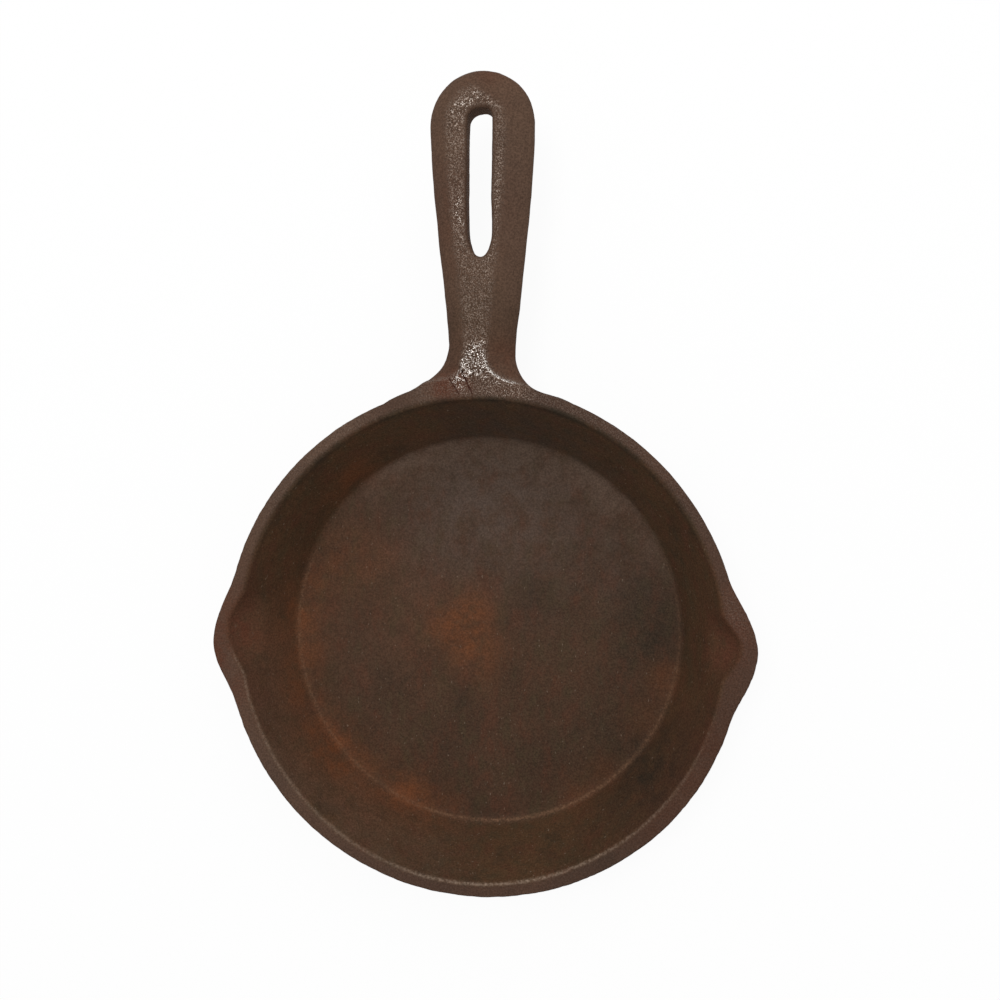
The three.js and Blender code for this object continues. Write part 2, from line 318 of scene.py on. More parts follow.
# The crest of the land beside the handle, worn and painted bright as a highlight
CREST_OFF = 0.45
CREST_WIDTH = 0.65
CREST_X = (0.0, 2.0, 8.0, 15.0)
CREST_Y = (90.0, 94.0)
CREST_LEFT = 0.36
CREST_STRENGTH = 1.4

# Painted highlight lines around the corner of the floor and along the inner edge of the rim, the latter
# partly wear as well, and a line of painted shade along the lip: bearing and strength
RING_HIGHLIGHT = (
    (150, 0.0), (165, 0.5), (190, 0.5), (220, 0.4), (250, 0.5),
    (265, 0.9), (300, 0.85), (325, 0.6), (350, 0.4), (400, 0.0),
)
RING_RADIUS = FLOOR_RADIUS - 0.3
RING_WIDTH = 0.5
EDGE_WEAR_AND_HIGHLIGHT = ((180, 0.0), (186, 0.36), (200, 0.42), (250, 0.48), (262, 0.9), (290, 0.9), (310, 0.5), (355, 0.0))
EDGE_OFF = 0.3
EDGE_WIDTH = 0.3
LIP_OFF = 0.2
LIP_WIDTH = 0.8

# Where zones start and where they are full: distance off the inside of the pan, over its floor, off a nick
# and below the rim, and the upward part of the normal
INSIDE_FADE = (1.4, 0.0)
WALL_FADE = (0.5, 3.0)
CREVICE_FADE = (0.2, -0.05)
TOP_DEPTH = (5.0, 2.0)
LIP_DEPTH = (3.0, 1.0)
CREST_DEPTH = (2.2, 1.2)
EDGE_DEPTH = (1.2, 0.4)
TOP_FACING = (0.6, 0.9)
CREVICE_STRENGTH = 0.8
STRONGEST = 2.0

# Noises of the iron: size in millimetres, detail and roughness
CLOUD = (26.0, 4.0, 0.6)
SMUDGE = (11.0, 4.0, 0.6)
PATCH = (7.0, 5.0, 0.65)
MOTTLE = (5.0, 5.0, 0.65)
PEBBLE = (1.5, 2.0, 0.5)
CLUSTER = (1.5, 1.0, 0.5)
BREAK = (0.9, 4.0, 0.6)
DASH = (0.8, 1.0, 0.5)
GRAIN = (0.6, 3.0, 0.6)
BEAD = (0.42, 1.0, 0.5)
STREAK = (0.38, 2.0, 0.6)
DASH_STRETCH = 2.2
STREAK_STRETCH = 1.2
STREAK_TURN = math.radians(25.0)

# How the noises show: two levels, and what they become there, or else 0 and 1
CLOUD_FADE = (0.35, 0.65)
RED_MOTTLE = (0.50, 0.66, 0.0, 0.45)
OLIVE_MOTTLE = (0.50, 0.36, 0.0, 0.50)
SOOT_SMUDGE = (0.46, 0.32, 0.0, 0.35)
LIGHT_DASH = (0.69, 0.79, 0.0, 0.6)
DARK_DASH = (0.34, 0.24, 0.0, 0.5)
PATCH_FADE = (0.3, 0.7, 0.25, 1.1)
BREAK_FADE = (0.38, 0.64, 0.20, 1.0)
GRAIN_SHADE = (0.25, 0.75, 0.70, 1.30)
CLUSTER_FADE = (0.35, 0.60, 0.65, 1.0)
FLECK_FADE = (0.47, 0.63)
BEAD_FADE = (0.43, 0.55)
PIT_FADE = (0.46, 0.32)
PIT_STRENGTH = 0.8

# Finish: bumps as strength and depth in millimetres
BARE_AND_GLINT_FADE = (0.68, 1.08)
BARE_METAL = 0.7
CRUST_ROUGHNESS = 0.72
BARE_ROUGHNESS = 0.35
SPECULAR = 0.025
PEBBLE_BUMP = (0.5, 0.12)
GRAIN_BUMP = (0.7, 0.06)
STREAK_DEPTH = 0.10

# Camera, in millimetres and degrees
CAMERA_AT = (42.74, 60.99, 345.18)
CAMERA_TURN = (-2.664, 6.408, 1.304)
LENS = 36.0
SENSOR = 36.0

# Studio, in metres and watts
FLOOR_HALF = 4.0
FLOOR_CELLS = 8
FLOOR_GAP = 0.0001
FLOOR_WHITE = 0.95
FLOOR_GLOW = 0.93
WORLD_LEVEL = 0.50
LAMP_TO = (0.0, 0.03, 0.02)
KEY_AT = (-0.15, 0.27, 1.0)
KEY_SIZE = 0.35
KEY_POWER = 3.5
FILL_AT = (0.25, 0.77, 0.95)
FILL_SIZE = 0.9
FILL_POWER = 4.1


def smoothstep(low, high, value):
    """From 0 at one value to 1 at another, smooth at both ends."""
    t = np.clip((value - low) / (high - low), 0.0, 1.0)
    return t * t * (3.0 - 2.0 * t)


def round_max(a, b, radius):
    """Common part of two bodies, with the edge between them rounded."""
    over_a = np.maximum(a + radius, 0.0)
    over_b = np.maximum(b + radius, 0.0)
    return np.minimum(np.maximum(a, b), -radius) + np.hypot(over_a, over_b)


def round_min(a, b, radius):
    """Both bodies together, with the corner between them filled by a fillet."""
    return -round_max(-a, -b, radius)


def by_depth(z, none, full):
    """0 at one depth below the rim and 1 at the other."""
    return smoothstep(PAN_HEIGHT - none, PAN_HEIGHT - full, z)


def swell(spout, bearing, z):
    """How far a spout draws the wall out."""
    middle, reach, depth, top, foot_before, foot_after, corner = spout
    away = (bearing - middle + 180.0) % 360.0 - 180.0
    foot = np.where(away < 0.0, foot_before, foot_after)
    fall = smoothstep(top, foot, np.abs(away))
    straight = np.clip((np.abs(away) - top) / (foot - top), 0.0, 1.0)
    fall = fall + np.where(away < 0.0, 0.0, corner) * (straight - fall)
    return reach * (1.0 - fall) * by_depth(z, depth, 0.0)


def waves(bearing, parts):
    """How far a round edge departs from its circle."""
    turn = np.radians(bearing)
    total = 0.0
    for i, (cosine, sine) in enumerate(parts):
        total = total + cosine * np.cos(i * turn) + sine * np.sin(i * turn)
    return total


def out_of_round(bearing, z):
    """The waves of the rim, which fade out towards the underside."""
    return waves(bearing, RIM_WAVES) * np.clip(z / PAN_HEIGHT, 0.0, 1.0)


def wall_radius(z):
    """Inner radius of a wall that is quite round."""
    return FLOOR_RADIUS + (z - FLOOR_THICKNESS) * math.tan(LEAN)


def pan_outside(radius, bearing, z):
    """Negative inside the outer shape of the pan."""
    drawn = radius - swell(RIGHT_LIP, bearing, z) - swell(LEFT_LIP, bearing, z)
    wall = (drawn - wall_radius(z) - WALL) * math.cos(LEAN)
    body = round_max(wall, -z, BASE_CORNER)
    return round_max(body, z - PAN_HEIGHT, RIM_ROUND)


def inner_radius(bearing, z):
    """Inner radius of the wall, out of round at the floor and at the rim."""
    up = np.clip((z - FLOOR_THICKNESS) / (PAN_HEIGHT - FLOOR_THICKNESS), 0.0, 1.0)
    return wall_radius(z) + waves(bearing, INNER_WAVES) * up + waves(bearing, FLOOR_WAVES) * (1.0 - up)


def pan_inside(radius, bearing, z):
    """Negative inside the hollow of the pan."""
    drawn = radius - swell(RIGHT_CHANNEL, bearing, z) - swell(LEFT_CHANNEL, bearing, z)
    wall = (drawn - inner_radius(bearing, z)) * math.cos(LEAN)
    return round_max(wall, FLOOR_THICKNESS - z, FLOOR_CORNER)


def bezier(a, b, c, d):
    """One coordinate of points along a cubic curve."""
    t = np.linspace(0.0, 1.0, CURVE_POINTS)
    return (1 - t) ** 3 * a + 3 * (1 - t) ** 2 * t * b + 3 * (1 - t) * t ** 2 * c + t ** 3 * d


def fillet_centre(fillet):
    """Centre of the arc that joins the rim to one side of the neck."""
    x = NECK_HALF + fillet
    return x, math.sqrt((RIM_RADIUS + fillet) ** 2 - x ** 2)


LEFT_CENTRE = fillet_centre(LEFT_FILLET)
RIGHT_CENTRE = fillet_centre(RIGHT_FILLET)
NECK_Y = RIGHT_CENTRE[1]
TAPER_Y = bezier(NECK_Y, NECK_Y + NECK_SWEEP, END_Y - END_SWEEP, END_Y)
TAPER_HALF = bezier(NECK_HALF, NECK_HALF, END_RADIUS, END_RADIUS)


def side_inset(x, y, radius, centre, fillet, web):
    """Distance in from one side edge of the handle, which runs out along the rim in an arc."""
    side = np.interp(y, TAPER_Y, TAPER_HALF) - x
    arc = np.hypot(x - centre[0], y - centre[1]) - fillet
    inset = np.where((y < centre[1]) & (x < centre[0]), np.minimum(arc, side + fillet), side)
    turn = np.degrees(np.arctan2(x, y))
    past = turn - math.degrees(math.atan2(*centre))
    on_rim = RIM_RADIUS - radius - RIM_INSET * smoothstep(*RIM_FADE, past)
    reach, start, peak, end = web
    bulge = reach * smoothstep(start, peak, turn) * (1.0 - smoothstep(peak, end, turn))
    return np.where(past > 0.0, on_rim, inset) + bulge


def handle_inset(x, y, radius):
    """Distance in from the outline of the handle, seen from above."""
    left = side_inset(-x, y, radius, LEFT_CENTRE, LEFT_FILLET, LEFT_WEB)
    right = side_inset(x, y, radius, RIGHT_CENTRE, RIGHT_FILLET, RIGHT_WEB)
    end = END_RADIUS - (np.abs(x) ** END_POWER + np.abs(y - END_Y) ** END_POWER) ** (1.0 / END_POWER)
    sides = np.where(x < 0.0, left, right)
    return np.where(y > END_Y, end, sides)


def bullnose(across, up, width, height):
    """Rounded edge: across runs from 0 on the flat to 1 on the outline, up likewise from edge to top."""
    across = np.maximum(across, LEAST_ACROSS)
    up = np.maximum(up, 0.0)
    size = np.hypot(across, up)
    return size * (size - 1.0) / np.hypot(across / width, up / height)


def sway(y):
    """How far the middle line of the handle lies to the right."""
    return np.interp(y, SWAY_Y, SWAY_X)


def on_right(x):
    """0 on the left of the handle and 1 on the right."""
    return smoothstep(-MIDDLE_BLEND, MIDDLE_BLEND, x)


def off_flat(x, inset, radius):
    """How far a place lies down the flank, outside the flat of the ridge and the land of the rim."""
    right = on_right(x)
    flank = LEFT_FLANK + (RIGHT_FLANK - LEFT_FLANK) * right
    fillet = LEFT_LAND_FILLET + (RIGHT_LAND_FILLET - LEFT_LAND_FILLET) * right
    reach = LEFT_LAND_REACH + (RIGHT_LAND_REACH - LEFT_LAND_REACH) * right
    return np.maximum(round_min(flank - inset, radius - RIM_RADIUS - reach, fillet), 0.0)


def handle_top(x, y, up, inset, radius):
    """Negative under the ridge, its flanks and the land, at a height over the edge of the handle."""
    slope = off_flat(x, inset, radius)
    width = np.maximum(slope + np.maximum(inset, 0.0), LEAST_FLANK)
    step = (LEFT_STEP + (RIGHT_STEP - LEFT_STEP) * on_right(x)) * (1.0 - smoothstep(*STEP_FADE, y))
    crown = CROWN - step * smoothstep(0.0, STEP_RUN, slope)
    across = (slope + np.maximum(-inset, 0.0)) / width
    return bullnose(across, up / crown, width, crown)


def handle_belly(down, inset, past):
    """Negative above the belly, deepest at the root, at a depth below the edge of the handle."""
    stretch = np.clip(1.0 - past / ROOT_LENGTH, 0.0, 1.0)
    belly = BELLY + (ROOT_DEPTH - CROWN - BELLY) * stretch ** 2
    keel = KEEL + (NECK_HALF - KEEL) * stretch
    return bullnose(1.0 - inset / keel, down / belly, keel, belly)


def handle_body(x, y, z, radius):
    """Negative inside the handle, as if it had no slot."""
    x = x - sway(y)
    inset = handle_inset(x, y, radius)
    past = np.maximum(y - RIM_RADIUS, 0.0)
    edge = PAN_HEIGHT + past * RISE - CROWN
    top = handle_top(x, y, z - edge, inset, radius)
    belly = handle_belly(edge - z, inset, past)
    buried = FLOOR_RADIUS - y
    return np.maximum(np.maximum(top, belly), buried)


def slot_body(x, y):
    """Negative inside the slot, seen from above."""
    side = x - np.interp(y, SLOT_LINE_Y, SLOT_LINE_X)
    across = np.abs(side)
    round_off = np.where(side < 0.0, SLOT_LEFT_CORNER, SLOT_RIGHT_CORNER)
    middle = (SLOT_FAR + SLOT_NEAR + SLOT_POINT) / 2.0
    half_length = (SLOT_FAR - SLOT_NEAR - SLOT_POINT) / 2.0
    a = across - SLOT_HALF + round_off
    b = np.abs(y - SLOT_SLANT * side - middle) - half_length + round_off
    corner = np.hypot(np.maximum(a, 0.0), np.maximum(b, 0.0))
    box = corner + np.minimum(np.maximum(a, b), 0.0) - round_off
    u = across / SLOT_HALF
    v = (SLOT_NEAR + SLOT_POINT - y) / SLOT_POINT
    point = bullnose(u, v, SLOT_HALF, SLOT_POINT)
    return np.where(y < SLOT_NEAR + SLOT_POINT, point, np.where(y < middle, across - SLOT_HALF, box))


def nick(x, y, z, start, end, size):
    """Distance from one nick, a ragged groove along a straight line."""
    dx, dy = np.subtract(end, start)
    x, y = x - start[0], y - start[1]
    t = np.clip((x * dx + y * dy) / (dx * dx + dy * dy), 0.0, 1.0)
    ragged = 1.0 - NICK_UNEVEN + NICK_UNEVEN * np.sin(NICK_RAG_Y * y + NICK_RAG_X * x)
    height = z - PAN_HEIGHT - NICK_LIFT
    return np.sqrt((x - t * dx) ** 2 + (y - t * dy) ** 2 + height ** 2) - size * ragged


def nicks(x, y, z):
    """Distance from the nearest nick, negative inside it."""
    return np.minimum.reduce([nick(x, y, z, *place) for place in NICKS])


def casting(x, y, z):
    """Negative inside the iron, and near the surface about the distance from it."""
    bearing = np.degrees(np.arctan2(y, x))
    radius = np.hypot(x, y) - out_of_round(bearing, z)
    handle = round_max(handle_body(x, y, z, radius), -slot_body(x, y), SLOT_ROUND)
    blend = ROOT_BLEND * by_depth(z, *ROOT_BLEND_DEPTH) + TINY
    body = round_min(pan_outside(radius, bearing, z), handle, blend)
    body = round_max(body, -pan_inside(radius, bearing, z), RIM_INNER_ROUND)
    return np.maximum(body, -nicks(x, y, z))


def casting_waves():
    """Random plane waves, as their directions, phases and heights, that make the iron uneven."""
    rng = np.random.default_rng(SEED)
    ways, phases, heights = [], [], []
    for length, height in SWELLS:
        way = rng.normal(size=(WAVES_EACH, 3))
        way *= 2.0 * math.pi / length / np.linalg.norm(way, axis=1)[:, None]
        ways.append(way * rng.uniform(*WAVE_SPREAD, size=(WAVES_EACH, 1)))
        phases.append(rng.uniform(0.0, 2.0 * math.pi, size=WAVES_EACH))
        heights.append(np.full(WAVES_EACH, height * math.sqrt(2.0 / WAVES_EACH)))
    return np.concatenate(ways), np.concatenate(phases), np.concatenate(heights)


WAYS, PHASES, HEIGHTS = casting_waves()


def smooth_surface(points):
    """Value and slope, at each point, of the casting."""
    x, y, z = points.T
    slopes = np.empty_like(points)
    slopes[:, 0] = casting(x + NUDGE, y, z) - casting(x - NUDGE, y, z)
    slopes[:, 1] = casting(x, y + NUDGE, z) - casting(x, y - NUDGE, z)
    slopes[:, 2] = casting(x, y, z + NUDGE) - casting(x, y, z - NUDGE)
    return casting(x, y, z), slopes / (2.0 * NUDGE)


def uneven_surface(points):
    """The same with the unevenness of the iron, which leaves the underside flat."""
    values, slopes = smooth_surface(points)
    turns = points @ WAYS.T + PHASES
    off_table = smoothstep(*TABLE_FADE, points[:, 2])
    values += off_table * (np.sin(turns) @ HEIGHTS)
    slopes += off_table[:, None] * (np.cos(turns) @ (WAYS * HEIGHTS[:, None]))
    return values, slopes


def settle(points, surface):
    """Moves points to the surface, or as far towards it as one move goes."""
    values, slopes = surface(points)
    steep = np.maximum((slopes ** 2).sum(axis=1), LEAST_SLOPE)
    step = np.clip(values / steep, -LONGEST_MOVE, LONGEST_MOVE)
    return points - slopes * step[:, None]


def unit(vectors):
    """The same directions, with length one."""
    return vectors / np.maximum(np.linalg.norm(vectors, axis=1), TINY)[:, None]


def relax(points, edges):
    """Spreads points evenly along the surface, towards the middle of their neighbours."""
    a, b = edges[:, 0], edges[:, 1]
    count = np.bincount(edges.ravel(), minlength=len(points))
    middle = np.empty_like(points)
    for axis in range(3):
        column = points[:, axis]
        total = np.bincount(a, column[b], len(points)) + np.bincount(b, column[a], len(points))
        middle[:, axis] = total / np.maximum(count, 1)
    return settle(points + RELAX_SHARE * (middle - points), smooth_surface)


def coarse_skin():
    """Quads around the iron on a regular grid."""
    low = np.array(GRID_LOW) - MARGIN
    high = np.array(GRID_HIGH) + MARGIN
    axes = [np.arange(low[i], high[i], VOXEL) for i in range(3)]
    x, y, z = np.meshgrid(*axes, indexing="ij", sparse=True)
    values = np.broadcast_to(casting(x, y, z), [len(axis) for axis in axes])
    grid = openvdb.FloatGrid(MARGIN)
    grid.copyFromArray(np.ascontiguousarray(values, dtype=np.float32))
    points, quads = grid.convertToQuads(isovalue=0.0)
    return points.astype(float) * VOXEL + low, quads


def polar(points):
    """Radius, less the waves of the rim, and bearing of each point, and its height."""
    x, y, z = points.T
    bearing = np.degrees(np.arctan2(y, x))
    return np.hypot(x, y) - out_of_round(bearing, z), bearing, z


def in_detail(points):
    """True on the rim, by the root and the slot of the handle, and along the corner of the floor."""
    radius, bearing, z = polar(points)
    x, y = points[:, 0], points[:, 1]
    high = z > PAN_HEIGHT - FINE_BELOW_RIM
    rim = high & (y < RIM_RADIUS + FINE_ROOT)
    slot = (np.abs(slot_body(x, y)) < FINE_EDGE) & high
    out = radius - waves(bearing, FLOOR_WAVES) - FLOOR_RADIUS
    corner = (np.abs(out) < FINE_EDGE) & (z > FLOOR_THICKNESS / 2.0)
    return rim | slot | (corner & (z < FLOOR_THICKNESS + FINE_EDGE))


def in_finer_detail(points):
    """True along the inner edge of the rim and the nicks."""
    radius, bearing, z = polar(points)
    edge = (np.abs(pan_inside(radius, bearing, z)) < FINER_EDGE) & (z > PAN_HEIGHT - FINER_EDGE)
    return edge | (nicks(*points.T) < FINER_EDGE)


def in_finest_detail(points):
    """True along the nicks."""
    return nicks(*points.T) < FINEST_EDGE


def split(mesh, wanted):
    """Splits in four each face whose middle is wanted."""
    middles = np.empty(len(mesh.polygons) * 3)
    mesh.polygons.foreach_get("center", middles)
    bm = bmesh.new()
    bm.from_mesh(mesh)
    bm.faces.ensure_lookup_table()
    edges = set()
    for i in np.flatnonzero(wanted(middles.reshape(-1, 3))):
        edges.update(bm.faces[i].edges)
    bmesh.ops.subdivide_edges(bm, edges=list(edges), cuts=1, use_grid_fill=True)
    bmesh.ops.recalc_face_normals(bm, faces=bm.faces)
    bm.to_mesh(mesh)
    bm.free()


def refined_skin():
    """The quads around the iron, split where there is detail."""
    points, quads = coarse_skin()
    mesh = bpy.data.meshes.new("skillet_casting")
    mesh.from_pydata(points, [], quads)
    for wanted in (in_detail, in_finer_detail, in_finest_detail):
        split(mesh, wanted)
    return mesh


def casting_mesh():
    """The finished mesh in metres, with its points in millimetres and their normals."""
    mesh = refined_skin()
    points = np.empty(len(mesh.vertices) * 3)
    mesh.vertices.foreach_get("co", points)
    points = settle(points.reshape(-1, 3), smooth_surface)
    edges = np.empty(len(mesh.edges) * 2, dtype=np.int32)
    mesh.edges.foreach_get("vertices", edges)
    for _ in range(RELAX_ROUNDS):
        points = relax(points, edges.reshape(-1, 2))
    for surface in (smooth_surface, uneven_surface, uneven_surface):
        points = settle(points, surface)
    normals = unit(uneven_surface(points)[1])
    mesh.vertices.foreach_set("co", (points * MM).ravel())
    mesh.polygons.foreach_set("use_smooth", np.ones(len(mesh.polygons), dtype=bool))
    mesh.update()
    mesh.normals_split_custom_set_from_vertices(normals)
    return mesh, points, normals


def spots(points, places):
    """Soft round spots, each given as x, y, z, radius and strength."""
    total = np.zeros(len(points))
    for x, y, z, radius, strength in places:
        away = ((points - (x, y, z)) ** 2).sum(axis=1)
        total += strength * np.exp(-away / radius ** 2)
    return total


def line(away, width):
    """1 where a distance is zero, fading out on both sides."""
    return np.exp(-(away / width) ** 2)


def arcs(points, places):
    """Soft bands along the corner around the floor: bearing, half angle, half width and strength."""
    radius = np.hypot(points[:, 0], points[:, 1])
    bearing = np.degrees(np.arctan2(points[:, 1], points[:, 0]))
    total = np.zeros(len(points))
    for middle, half, width, strength in places:
        away = np.abs((bearing - middle + 180.0) % 360.0 - 180.0)
        band = line(radius - FLOOR_RADIUS, width)
        total += strength * band * (1.0 - smoothstep(half * ARC_CORE, half, away))
    return total


def around(bearing, table):
    """Strength at each bearing, from a table of bearings and strengths."""
    bearings, strengths = zip(*table)
    return np.interp((bearing - bearings[0]) % 360.0, np.subtract(bearings, bearings[0]), strengths)


class Root:
    """Places by the handle: x off its middle line, y, how far down the flank, and which ones are near."""

    def __init__(self, points, radius):
        y = points[:, 1]
        self.x = points[:, 0] - sway(y)
        self.y = y
        self.slope = off_flat(self.x, handle_inset(self.x, y, radius), radius)
        self.near = (y > ROOT_AREA_Y) & (np.abs(self.x) < ROOT_AREA_X)


def wear_and_glints(points, root):
    """How far the crust is rubbed off the rim and the ridge of the handle, with painted glints on its
    flats.
    """
    flat = np.where(root.near, 1.0 - smoothstep(*WEAR_AND_GLINT_FADE, root.slope), 1.0)
    ridge = WORN_AND_GLINT_RIM + (WORN_AND_GLINT_RIDGE - WORN_AND_GLINT_RIM) * smoothstep(*WEAR_AND_GLINT_RUN, root.y)
    return flat * (ridge + spots(points, WORN_AND_GLINT_SPOTS))


def worn_and_highlit_crest(z, root):
    """The edge where the land of the rim stands above the flanks of the handle, worn and painted bright as
    a highlight.
    """
    crest = line(root.slope - CREST_OFF, CREST_WIDTH) * (root.slope > 0.0) * by_depth(z, *CREST_DEPTH)
    run = smoothstep(*CREST_X[:2], root.x) * (1.0 - smoothstep(*CREST_X[2:], root.x))
    strength = CREST_LEFT + (1.0 - CREST_LEFT) * run
    return CREST_STRENGTH * crest * strength * root.near * (1.0 - smoothstep(*CREST_Y, root.y))


def pan_zones(points, bearing, inside, wall):
    """Stains inside the pan, with painted sheen and a painted band of light among them."""
    floor = inside - wall
    floor_dust_and_painted_light = spots(points, DUST_SPOTS) + arcs(points, PAINTED_LIGHT_ARCS)
    return {
        "inside": inside,
        "wall": wall,
        "dust_and_painted_light": wall * around(bearing, WALL_DUST) + floor * floor_dust_and_painted_light,
        "rust": inside * (spots(points, RUST_SPOTS) + arcs(points, RUST_ARCS)),
        "painted_sheen": inside * spots(points, PAINTED_SHEEN_SPOTS),
    }


def line_zones(radius, bearing, z, inner, inside):
    """Painted highlight lines around the floor and along the rim, the rim's line partly wear as well,
    painted shade along its lip on the handle side, and soot along its top.
    """
    ring_highlight = line(radius - waves(bearing, FLOOR_WAVES) - RING_RADIUS, RING_WIDTH)
    edge = line(inner - EDGE_OFF, EDGE_WIDTH) * by_depth(z, *EDGE_DEPTH)
    lip = line(inner - LIP_OFF, LIP_WIDTH) * by_depth(z, *LIP_DEPTH)
    return {
        "ring_highlight": inside * ring_highlight * around(bearing, RING_HIGHLIGHT),
        "edge": edge * around(bearing, EDGE_WEAR_AND_HIGHLIGHT),
        "soot_and_shade": lip * around(bearing, LIP_SHADE) + (1.0 - inside) * around(bearing, RIM_SOOT),
    }


def zones(points, normals):
    """How strong each stain, line and kind of wear is at each point."""
    radius, bearing, z = polar(points)
    inner = pan_inside(radius, bearing, z)
    inside = smoothstep(*INSIDE_FADE, inner)
    outside = 1.0 - inside
    wall = inside * smoothstep(*WALL_FADE, z - FLOOR_THICKNESS)
    top = smoothstep(*TOP_FACING, normals[:, 2]) * by_depth(z, *TOP_DEPTH)
    root = Root(points, radius)
    found = pan_zones(points, bearing, inside, wall) | line_zones(radius, bearing, z, inner, inside)
    found["soot_and_shade"] += inside * spots(points, SOOT_AND_SHADE_SPOTS)
    found["red"] = spots(points, RED_SPOTS)
    found["olive"] = spots(points, OLIVE_SPOTS)
    found["pale"] = spots(points, PALE_SPOTS) + around(bearing, RIM_PALE) + smoothstep(*HANDLE_RUN, root.y)
    found["worn_and_glint"] = outside * top * wear_and_glints(points, root) + inside * WORN_AND_GLINT_INSIDE
    found["crest"] = outside * worn_and_highlit_crest(z, root)
    # The insides of the nicks are darkened, partly as rust and partly as painted shade
    found["crevice_rust_and_shade"] = CREVICE_STRENGTH * smoothstep(*CREVICE_FADE, nicks(*points.T))
    return found


class Graph:
    """Adds linked nodes to a shader."""

    def __init__(self, tree):
        self.tree = tree
        self.place = self.node("TexCoord").outputs["Object"]

    def node(self, kind, inputs=(), **settings):
        node = self.tree.nodes.new("ShaderNode" + kind)
        for name, value in settings.items():
            setattr(node, name, value)
        for name, value in dict(inputs).items():
            self.feed(node.inputs[name], value)
        return node

    def feed(self, socket, value):
        if isinstance(value, bpy.types.NodeSocket):
            self.tree.links.new(value, socket)
        else:
            socket.default_value = value

    def zone(self, name):
        """How strong a zone is, as stored with the points of the mesh."""
        return self.node("Attribute", attribute_name=name).outputs["Fac"]

    def noise(self, size, detail, roughness, place=None):
        """Noise whose features are this many millimetres across."""
        inputs = {"Scale": 1.0 / (size * MM), "Detail": detail, "Roughness": roughness}
        return self.node("TexNoise", {"Vector": place or self.place, **inputs}).outputs["Fac"]

    def stretched(self, turn, stretch):
        """Places turned about Z and drawn out, so that noise there is streaky."""
        inputs = {"Vector": self.place, "Rotation": (0.0, 0.0, turn), "Scale": (1.0, 1.0 / stretch, 1.0)}
        return self.node("Mapping", inputs).outputs["Vector"]

    def ramp(self, value, low, high, to_low=0.0, to_high=1.0):
        """The value brought from one range to another, smooth at both ends."""
        inputs = {"Value": value, "From Min": low, "From Max": high, "To Min": to_low, "To Max": to_high}
        return self.node("MapRange", inputs, interpolation_type="SMOOTHSTEP").outputs["Result"]

    def math(self, operation, a, b):
        return self.node("Math", {0: a, 1: b}, operation=operation, use_clamp=True).outputs["Value"]

    def blend(self, factor, a, b):
        return self.node("MixRGB", {"Fac": factor, "Color1": a, "Color2": b}).outputs["Color"]

    def bump(self, height, strength, depth, normal=None):
        """Normals of a surface that this height roughens, up to so many millimetres deep."""
        inputs = {"Height": height, "Strength": strength, "Distance": depth * MM}
        if normal:
            inputs["Normal"] = normal
        return self.node("Bump", inputs).outputs["Normal"]


# Zones and their colours, in the order in which they are laid over one another: stains with painted sheen,
# light and shade among them, then painted highlight lines
STAINS_AND_PAINTED_LIGHT = (
    ("painted_sheen", PAINTED_SHEEN), ("dust_and_painted_light", DUST_AND_PAINTED_LIGHT), ("olive", OLIVE), ("red", RED_BROWN), ("rust", RUST), ("soot_and_shade", SOOT_AND_SHADE),
)
PAINTED_HIGHLIGHT_LINES = (("edge", EDGE_WEAR_AND_HIGHLIGHT_TAN), ("ring_highlight", RING_HIGHLIGHT_TAN))


def outer_colour(graph, cloud):
    """Crust of the rim, the handle and the outside."""
    rim = graph.blend(cloud, RIM_DARK, RIM_BROWN)
    handle = graph.blend(cloud, HANDLE_DARK, HANDLE_BROWN)
    return graph.blend(graph.zone("pale"), rim, handle)


def inner_colour(graph, cloud):
    """Crust of the floor and the wall, mottled, with fine light and dark dashes."""
    floor = graph.blend(cloud, FLOOR_DARK, FLOOR_BROWN)
    wall = graph.blend(cloud, WALL_DARK, WALL_BROWN)
    colour = graph.blend(graph.zone("wall"), floor, wall)
    drawn = graph.stretched(0.0, DASH_STRETCH)
    mottle = graph.noise(*MOTTLE, drawn)
    dashes = graph.noise(*DASH, drawn)
    marks = (
        (mottle, RED_MOTTLE, RED_BROWN),
        (mottle, OLIVE_MOTTLE, OLIVE),
        (graph.noise(*SMUDGE), SOOT_SMUDGE, SOOT_AND_SHADE),
        (dashes, LIGHT_DASH, SPECK),
        (dashes, DARK_DASH, SOOT_AND_SHADE),
    )
    for noise, fade, tint in marks:
        colour = graph.blend(graph.ramp(noise, *fade), colour, tint)
    return colour


def with_stains_and_painted_light(graph, colour):
    """A colour with its stains, painted sheen, light and shade, which are patchy, and its painted highlight
    lines, which are broken.
    """
    patchy = graph.ramp(graph.noise(*PATCH), *PATCH_FADE)
    broken = graph.ramp(graph.noise(*BREAK), *BREAK_FADE)
    for places, uneven in ((STAINS_AND_PAINTED_LIGHT, patchy), (PAINTED_HIGHLIGHT_LINES, broken)):
        for zone, tint in places:
            colour = graph.blend(graph.math("MULTIPLY", graph.zone(zone), uneven), colour, tint)
    return colour


